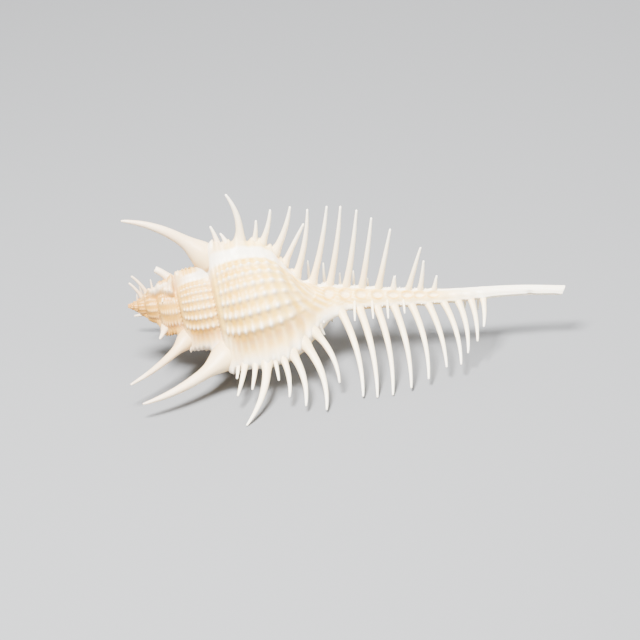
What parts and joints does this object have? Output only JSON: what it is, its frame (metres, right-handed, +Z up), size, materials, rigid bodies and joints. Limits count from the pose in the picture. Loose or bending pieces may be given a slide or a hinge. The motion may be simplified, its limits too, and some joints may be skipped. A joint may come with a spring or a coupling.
{
  "type": "comb murex shell",
  "caption": "Spiny sea snail shell with a long thin canal and three rows of long curved spines, lying on its spine tips.",
  "frame": {"origin": "under the middle of the shell's bounding box, on the surface that the spine tips rest on", "axes": "+X along the coiling axis from the apex to the end of the canal; +Z up, away from the surface; the aperture opens downwards"},
  "size_m": [0.0998, 0.0522, 0.041],
  "materials": {
    "shell": "satin, cream white with yellow-orange marks between the ribs"
  },
  "bodies": {
    "root": {"shell": "shell"}
  },
  "joints": []
}
